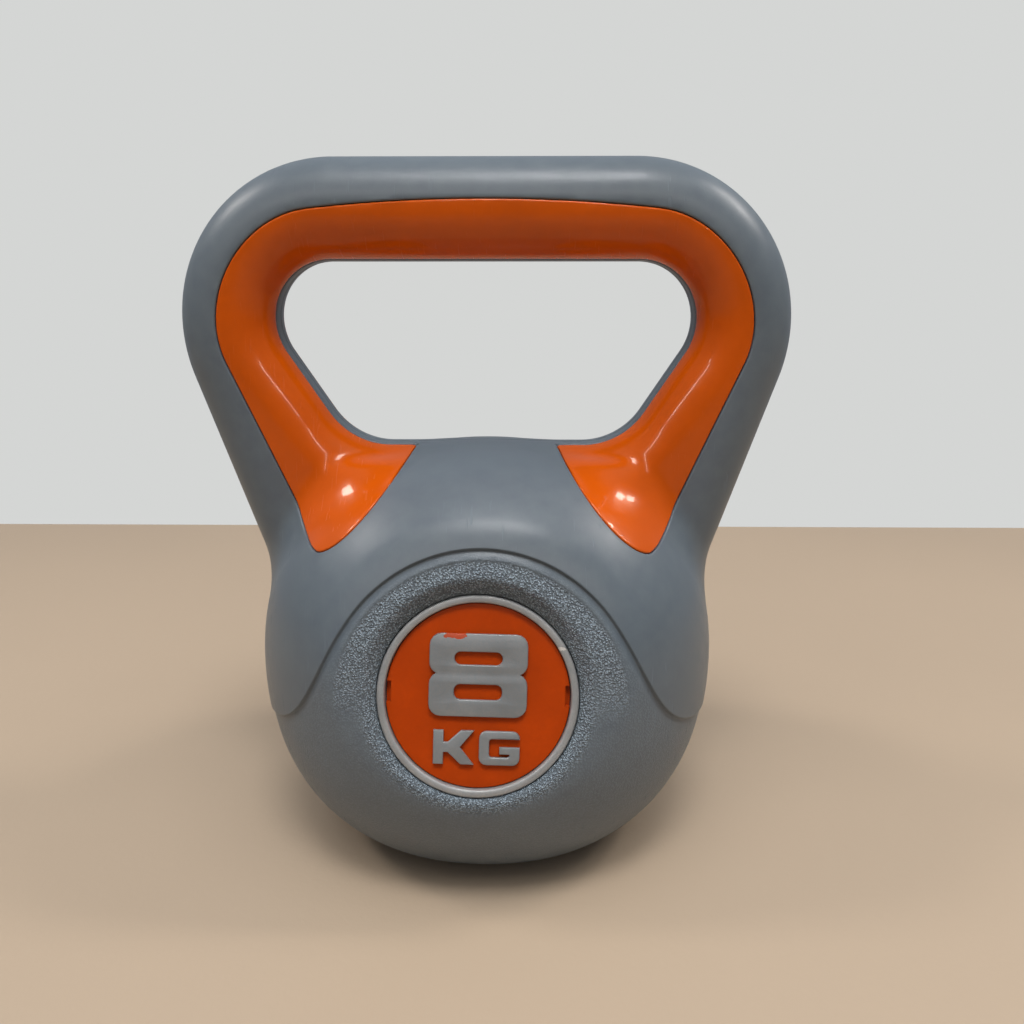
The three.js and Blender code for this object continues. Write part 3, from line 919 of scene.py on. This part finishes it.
# ---- Materials
def node(tree, kind, settings=None, **inputs):
    """Adds a shader node. Inputs are named with _ for a space, or in0, in1 and
    so on by number, and take a value or another node's output."""
    made = tree.nodes.new(kind)
    for name, value in (settings or {}).items():
        setattr(made, name, value)
    for name, value in inputs.items():
        key = int(name[2:]) if name[:2] == "in" and name[2:].isdigit() else name.replace("_", " ")
        if isinstance(value, bpy.types.NodeSocket):
            tree.links.new(value, made.inputs[key])
        else:
            made.inputs[key].default_value = value
    return made


def maths(tree, operation, *values):
    numbered = {f"in{i}": value for i, value in enumerate(values)}
    return node(tree, "ShaderNodeMath", {"operation": operation}, **numbered).outputs[0]


def times(tree, first, second):
    return maths(tree, "MULTIPLY", first, second)


def mixed(tree, share, first, second, blend="MIX"):
    settings = {"data_type": "RGBA", "blend_type": blend}
    return node(tree, "ShaderNodeMix", settings, in0=share, in6=first, in7=second).outputs[2]


def ranged(tree, value, low, high, start=0.0, end=1.0):
    return node(tree, "ShaderNodeMapRange", None, Value=value, From_Min=low, From_Max=high,
                To_Min=start, To_Max=end).outputs["Result"]


def noise(tree, place, scale, detail=3.0, roughness=0.55):
    return node(tree, "ShaderNodeTexNoise", None, Vector=place, Scale=scale, Detail=detail,
                Roughness=roughness).outputs["Fac"]


def blotches(tree, place, scale, detail):
    """Noise stretched to run from zero to one."""
    return ranged(tree, noise(tree, place, scale, detail), 0.3, 0.7)


def cells(tree, place, scale):
    return node(tree, "ShaderNodeTexVoronoi", None, Vector=place, Scale=scale).outputs["Distance"]


def stretched(tree, place, scale, turn=(0, 0, 0)):
    return node(tree, "ShaderNodeMapping", None, Vector=place, Scale=scale,
                Rotation=turn).outputs["Vector"]


def scratches(tree, place, density, turn, level=0.7):
    """Sparse thin lines that run one way: one on a line and zero off it."""
    lines = noise(tree, stretched(tree, place, (density, density * 0.1, density * 0.1), turn), 1.0, 1.0)
    patches = noise(tree, place, 25.0, 1.0)
    return times(tree, ranged(tree, lines, level, level + 0.03),
                 ranged(tree, patches, 0.5, 0.62))


def started(name, colour):
    """A new material: its tree, its shader, and places in the row frame."""
    made = bpy.data.materials.new(name)
    made.use_nodes = True
    made.diffuse_color = (*colour, 1)
    tree = made.node_tree
    place = tree.nodes.new("ShaderNodeTexCoord").outputs["Object"]
    return made, tree, tree.nodes["Principled BSDF"], place


def bump(tree, height, distance, strength=1.0, under=None):
    extra = {"Normal": under} if under else {}
    return node(tree, "ShaderNodeBump", None, Height=height, Distance=distance, Strength=strength,
                **extra).outputs["Normal"]


def pressed(tree, lines, under):
    """Presses scratches into a bumped surface."""
    return bump(tree, times(tree, lines, -1.0), 0.00003, under=under)


def connect(tree, shader, **outputs):
    """Links outputs to the shader's inputs, which are named with _ for a space."""
    for name, output in outputs.items():
        tree.links.new(output, shader.inputs[name.replace("_", " ")])


def shade(colour, factor):
    return (*[channel * factor for channel in colour], 1)


SHELL_GREY = (0.106, 0.130, 0.151)
GRIP_ORANGE = (0.56, 0.082, 0.001)
FIELD_ORANGE = (0.46, 0.047, 0.001)
SILVER = (0.36, 0.35, 0.34)
FIGURE_SILVER = (0.25, 0.25, 0.25)
CEMENT = (0.32, 0.30, 0.27)
STEEL = (0.35, 0.33, 0.31)
PLUG_GREY = (0.10, 0.12, 0.13)
FLOOR_COLOUR = (0.41, 0.315, 0.225)
BARE_RIM = (0.62, 0.58, 0.54)
DUST = (0.30, 0.29, 0.27, 1)
TARNISH = (0.20, 0.26, 0.29, 1)
SAND = (0.42, 0.38, 0.30, 1)
RUST = (0.17, 0.075, 0.035, 1)
WARM_GLOSS = (1, 0.75, 0.55, 1)
SCUFF_FADE = (22, 4)


def shell_material():
    made, tree, shader, place = started("shell_satin_grey", SHELL_GREY)
    grain = node(tree, "ShaderNodeAttribute", {"attribute_name": "grain"}).outputs["Fac"]
    broad = blotches(tree, place, 14.0, 2.0)
    fine = blotches(tree, place, 170.0, 4.0)
    tone = mixed(tree, broad, shade(SHELL_GREY, 0.93), shade(SHELL_GREY, 1.06))
    mottle = mixed(tree, fine, (0.93, 0.93, 0.95, 1), (1.06, 1.06, 1.04, 1))
    tone = mixed(tree, 1.0, tone, mottle, "MULTIPLY")
    lines = maths(tree, "MAXIMUM", scratches(tree, place, 900.0, (0.3, 0.2, 0.9)),
                  scratches(tree, place, 700.0, (1.2, 0.1, -0.5)))
    tone = mixed(tree, times(tree, lines, 0.25), tone, shade(SHELL_GREY, 1.6))
    specks = maths(tree, "SUBTRACT", noise(tree, place, 2100.0, 2.0), cells(tree, place, 1300.0))
    # Painted highlight: the grain's specks are lightened to a pale grey as painted glints, strongest where
    # the grain value is high.
    painted_glints = times(tree, grain, ranged(tree, specks, -0.05, 0.3))
    tone = mixed(tree, times(tree, painted_glints, 0.85), tone, shade(SHELL_GREY, 3.4))
    height = node(tree, "ShaderNodeSeparateXYZ", None, Vector=place).outputs["Z"]
    foot = ranged(tree, height, SCUFF_FADE[0] * MM, SCUFF_FADE[1] * MM)
    scuffed = times(tree, foot, ranged(tree, fine, 0.4, 0.9))
    tone = mixed(tree, times(tree, scuffed, 0.35), tone, DUST)
    gloss = maths(tree, "ADD", ranged(tree, broad, 0, 1, 0.34, 0.42), ranged(tree, fine, 0, 1, -0.03, 0.05))
    gloss = maths(tree, "ADD", gloss, times(tree, lines, 0.2))
    skin = bump(tree, noise(tree, place, 2300.0, 2.0), 0.00002)
    waved = bump(tree, noise(tree, place, 30.0, 1.0), 0.0003, under=skin)
    grained = bump(tree, times(tree, specks, grain), 0.0008, under=pressed(tree, lines, waved))
    connect(tree, shader, Base_Color=tone, Roughness=gloss, Normal=grained)
    return made


def grip_material():
    made, tree, shader, place = started("grip_glossy_orange", GRIP_ORANGE)
    broad = blotches(tree, place, 22.0, 3.0)
    fine = blotches(tree, place, 260.0, 3.0)
    tone = mixed(tree, broad, shade(GRIP_ORANGE, 0.9), shade(GRIP_ORANGE, 1.07))
    tone = mixed(tree, times(tree, fine, 0.12), tone, shade(GRIP_ORANGE, 0.7))
    lines = maths(tree, "MAXIMUM", scratches(tree, place, 1100.0, (0.8, 0.1, 0.4)),
                  scratches(tree, place, 800.0, (0.1, 0.9, 1.3)))
    gloss = maths(tree, "ADD", ranged(tree, fine, 0, 1, 0.18, 0.25), times(tree, lines, 0.25))
    shader.inputs["Specular IOR Level"].default_value = 0.25
    shader.inputs["Specular Tint"].default_value = WARM_GLOSS
    shader.inputs["Coat Weight"].default_value = 0.3
    shader.inputs["Coat Roughness"].default_value = 0.04
    waved = bump(tree, noise(tree, place, 55.0, 2.0), 0.0003)
    skin = bump(tree, noise(tree, place, 900.0, 2.0), 0.00001, under=waved)
    connect(tree, shader, Base_Color=tone, Roughness=gloss, Normal=pressed(tree, lines, skin))
    return made


def field_material():
    made, tree, shader, place = started("badge_satin_orange", FIELD_ORANGE)
    broad = blotches(tree, place, 60.0, 3.0)
    fine = blotches(tree, place, 700.0, 3.0)
    tone = mixed(tree, broad, shade(FIELD_ORANGE, 0.88), shade(FIELD_ORANGE, 1.08))
    tone = mixed(tree, times(tree, fine, 0.2), tone, shade(FIELD_ORANGE, 0.72))
    shader.inputs["Specular IOR Level"].default_value = 0.2
    shader.inputs["Specular Tint"].default_value = WARM_GLOSS
    ripple = bump(tree, noise(tree, place, 120.0, 2.0), 0.0001)
    skin = bump(tree, noise(tree, place, 1500.0, 2.0), 0.00002, under=ripple)
    connect(tree, shader, Base_Color=tone, Roughness=ranged(tree, fine, 0, 1, 0.32, 0.42), Normal=skin)
    return made


# Worn spots on the front badge: middle and half size, across and up from its middle.
RIM_NICK = ((29.2, 17.6), (1.5, 0.7))
FIGURE_CHIP = ((-8.2, 21.4), (4.2, 1.3))


def worn_spot(tree, place, spot):
    """One inside a ragged spot on the front badge and zero outside it."""
    middle, size = spot
    local = node(tree, "ShaderNodeMapping", {"vector_type": "TEXTURE"}, Vector=place,
                 Location=BADGE_PLACE.to_translation(), Rotation=BADGE_PLACE.to_euler()).outputs[0]
    parts = node(tree, "ShaderNodeSeparateXYZ", None, Vector=local)
    squares = []
    for axis in (0, 1):
        offset = maths(tree, "SUBTRACT", parts.outputs[axis], middle[axis] * MM)
        share = maths(tree, "DIVIDE", offset, size[axis] * MM)
        squares.append(times(tree, share, share))
    reach = maths(tree, "ADD", *squares)
    ragged = maths(tree, "ADD", reach, ranged(tree, noise(tree, place, 700.0, 3.0), 0.2, 0.8, -0.9, 0.9))
    return ranged(tree, ragged, 1.05, 0.95)


def relief_material(name, silver, spot=None, beneath=FIELD_ORANGE):
    """Silver coating; where it has worn off at a spot the moulding shows."""
    made, tree, shader, place = started(name, silver)
    broad = blotches(tree, place, 90.0, 3.0)
    specks = ranged(tree, noise(tree, place, 1300.0, 4.0, 0.7), 0.35, 0.65)
    tone = mixed(tree, broad, shade(silver, 0.88), shade(silver, 1.1))
    tone = mixed(tree, times(tree, specks, 0.35), tone, TARNISH)
    metal = ranged(tree, specks, 0, 1, 0.25, 0.5)
    gloss = ranged(tree, specks, 0, 1, 0.34, 0.46)
    height = noise(tree, place, 1600.0, 3.0)
    if spot:
        worn = worn_spot(tree, place, spot)
        tone = mixed(tree, worn, tone, (*beneath, 1))
        metal = times(tree, metal, maths(tree, "SUBTRACT", 1.0, worn))
        height = maths(tree, "SUBTRACT", height, times(tree, worn, 3.0))
    skin = bump(tree, height, 0.00004)
    connect(tree, shader, Base_Color=tone, Metallic=metal, Roughness=gloss, Normal=skin)
    return made


def cement_material():
    made, tree, shader, place = started("cast_cement", CEMENT)
    broad = blotches(tree, place, 35.0, 4.0)
    sand = cells(tree, place, 900.0)
    tone = mixed(tree, broad, shade(CEMENT, 0.78), shade(CEMENT, 1.15))
    tone = mixed(tree, ranged(tree, sand, 0.35, 0.1, 0.0, 0.5), tone, SAND)
    gloss = ranged(tree, broad, 0, 1, 0.85, 0.98)
    lumps = bump(tree, noise(tree, place, 140.0, 5.0, 0.65), 0.0012)
    sandy = bump(tree, sand, 0.0004, under=lumps)
    connect(tree, shader, Base_Color=tone, Roughness=gloss, Normal=sandy)
    return made


def steel_material():
    made, tree, shader, place = started("plain_rod_steel", STEEL)
    rust = ranged(tree, noise(tree, place, 60.0, 5.0, 0.65), 0.5, 0.68)
    drawn = noise(tree, stretched(tree, place, (900, 900, 30)), 1.0, 2.0)
    tone = mixed(tree, drawn, shade(STEEL, 0.8), shade(STEEL, 1.2))
    tone = mixed(tree, rust, tone, RUST)
    metal = ranged(tree, rust, 0, 1, 0.95, 0.1)
    gloss = ranged(tree, rust, 0, 1, 0.38, 0.85)
    rough = bump(tree, noise(tree, place, 500.0, 3.0), 0.0001)
    skin = bump(tree, drawn, 0.00002, under=rough)
    connect(tree, shader, Base_Color=tone, Metallic=metal, Roughness=gloss, Normal=skin)
    return made


def plug_material():
    made, tree, shader, place = started("plug_dark_grey", PLUG_GREY)
    broad = blotches(tree, place, 40.0, 3.0)
    tone = mixed(tree, broad, shade(PLUG_GREY, 0.85), shade(PLUG_GREY, 1.2))
    lines = scratches(tree, place, 900.0, (0, 0, 0.6), 0.6)
    tone = mixed(tree, times(tree, lines, 0.6), tone, shade(PLUG_GREY, 3.0))
    gloss = ranged(tree, broad, 0, 1, 0.42, 0.56)
    turned = node(tree, "ShaderNodeTexWave", {"wave_type": "RINGS", "rings_direction": "Z"},
                  Vector=place, Scale=260.0, Distortion=0.5).outputs["Fac"]
    rings = bump(tree, turned, 0.00003)
    skin = bump(tree, noise(tree, place, 1200.0, 2.0), 0.00003, under=rings)
    connect(tree, shader, Base_Color=tone, Roughness=gloss, Normal=skin)
    return made


def floor_material():
    made, tree, shader, place = started("pale_floor", FLOOR_COLOUR)
    broad = blotches(tree, place, 3.0, 4.0)
    tone = mixed(tree, broad, shade(FLOOR_COLOUR, 0.97), shade(FLOOR_COLOUR, 1.02))
    gloss = ranged(tree, broad, 0, 1, 0.5, 0.6)
    skin = bump(tree, noise(tree, place, 300.0, 3.0), 0.0001)
    connect(tree, shader, Base_Color=tone, Roughness=gloss, Normal=skin)
    return made


def mark_grain(shell):
    """Stores on each point how strongly the moulded sand grain shows there, which also sets how strongly
    its painted glints lighten the colour; the height part grows towards the top as painted highlight from
    above.
    """
    p = places_of(shell)
    inside = 1 - smooth_step(-1.6, 0.2, grain_area(p))
    # Stronger towards the top: painted highlight on the grain from above.
    height = smooth_step(*GRAIN_AND_GLINT_FADE, p[:, 2])
    radius = badge_radius(p)
    near = 1 - smooth_step(BADGE_RADIUS + 3, BADGE_RADIUS + 8, radius)
    bowl = 1 - smooth_step(-4, -0.5, arch_area(p))
    grain = np.maximum(inside * height, GRAIN_ROUND_BADGE * near)
    grain = np.maximum(grain, GRAIN_ON_BOWL * bowl) * (np.abs(p[:, 1]) > 8) * (radius > BADGE_RADIUS)
    shell.data.attributes.new("grain", "FLOAT", "POINT").data.foreach_set("value", grain)


# ---- Assembly
plain = plain_body()
shell = finished(make_shell(plain), "shell", shell_material(), 60, shell_shading)
mark_grain(shell)
finished(make_core(), "cement_core", cement_material(), 60)
rod = tube("bent_steel_rod", rod_route(ROD_FOOT), ROD_RADIUS, chamfer=0.8)
finished(rod, "handle_rod", steel_material(), 50)
finished(make_plug(), "filler_plug", plug_material())

orange = grip_material()
field = field_material()
silver = relief_material("badge_silver_figures", FIGURE_SILVER)
coats = {
    "badge_ring_back": relief_material("badge_silver_rim", SILVER),
    "badge_ring_front": relief_material("badge_silver_rim_nicked", SILVER, RIM_NICK, BARE_RIM),
    "badge_numeral_8_front": relief_material("badge_silver_chipped", FIGURE_SILVER, FIGURE_CHIP),
}
for label, turn in SIDES.items():
    grip = make_grip(plain, label, turn)
    finished(grip, f"grip_inlay_{label}", orange, 50, grip_shading)
    for name, piece in badge_pieces(label).items():
        piece.data.transform(Matrix.Rotation(turn, 4, "Z") @ BADGE_PLACE)
        if name == f"badge_disc_{label}":
            finished(piece, name, field, 50)
        else:
            finished(piece, name, coats.get(name, silver), 50)


# ---- Stage, lights and camera
TABLE_REACH, TABLE_BACK = 4000, 414
CAMERA_PLACE = (0.0145, -0.322, 0.225)
CAMERA_DIP = math.radians(16)
CAMERA_TURN = math.radians(0.77)
CAMERA_LENS = 28.1
SKY_BELOW = (0.045, 0.045, 0.05, 1)
SKY_ABOVE = (0.30, 0.32, 0.35, 1)
SKY_SEEN = (0.66, 0.67, 0.66, 1)
WARM = (1, 0.95, 0.9)


def make_floor():
    """A plain table top that ends a little way behind the piece."""
    corners = [[-TABLE_REACH, -TABLE_REACH, 0], [TABLE_REACH, -TABLE_REACH, 0],
               [TABLE_REACH, TABLE_BACK, 0], [-TABLE_REACH, TABLE_BACK, 0]]
    floor = mesh_object("floor", corners, [[0, 1, 2, 3]])
    floor.data.materials.append(floor_material())


def area_light(name, place, target, size, power, colour=(1, 1, 1), shine=True, fill=True):
    """A light panel, in metres and watts, that may leave out shine or fill."""
    light = bpy.data.lights.new(name, "AREA")
    light.shape = "RECTANGLE"
    light.size, light.size_y = size
    light.energy = power
    light.color = colour
    holder = placed(name, light)
    holder.location = place
    holder.rotation_euler = (Vector(target) - Vector(place)).to_track_quat("-Z", "Y").to_euler()
    holder.visible_glossy = shine
    holder.visible_diffuse = fill


def make_camera():
    camera = bpy.data.cameras.new("camera")
    camera.lens = CAMERA_LENS
    holder = placed("camera", camera)
    holder.location = CAMERA_PLACE
    holder.rotation_euler = (math.pi / 2 - CAMERA_DIP, 0, CAMERA_TURN)
    bpy.context.scene.camera = holder


def make_world():
    """Pale to look at. It lights the piece most from above and behind."""
    world = bpy.data.worlds.new("studio")
    world.use_nodes = True
    tree = world.node_tree
    facing = tree.nodes.new("ShaderNodeTexCoord").outputs["Generated"]
    parts = node(tree, "ShaderNodeSeparateXYZ", None, Vector=facing)
    reach = maths(tree, "MAXIMUM", parts.outputs["Y"], parts.outputs["Z"])
    tone = mixed(tree, ranged(tree, reach, -0.2, 0.6), SKY_BELOW, SKY_ABOVE)
    seen = tree.nodes.new("ShaderNodeLightPath").outputs["Is Camera Ray"]
    tone = mixed(tree, seen, tone, SKY_SEEN)
    tree.links.new(tone, tree.nodes["Background"].inputs["Color"])
    bpy.context.scene.world = world


make_floor()
make_world()
area_light("key", (0.06, -0.55, 1.6), (0, 0, 0.12), (0.5, 0.35), 11)
area_light("overhead", (0.06, -0.55, 1.75), (0, 0, 0.12), (2.0, 1.1), 19, shine=False)
area_light("long_tube", (-0.2, -2.2, 1.45), (0, 0, 0.15), (4.0, 0.06), 22, WARM, fill=False)
area_light("lamp_left", (-1.35, 0.05, 1.4), (0, 0, 0.15), (0.32, 0.28), 8, WARM)
area_light("lamp_right", (1.16, 0.19, 1.4), (0, 0, 0.15), (0.26, 0.2), 6, WARM)
area_light("lamp_right_far", (1.52, 0.12, 1.4), (0, 0, 0.15), (0.2, 0.2), 4, WARM)
make_camera()
bpy.context.scene.view_settings.view_transform = "Standard"
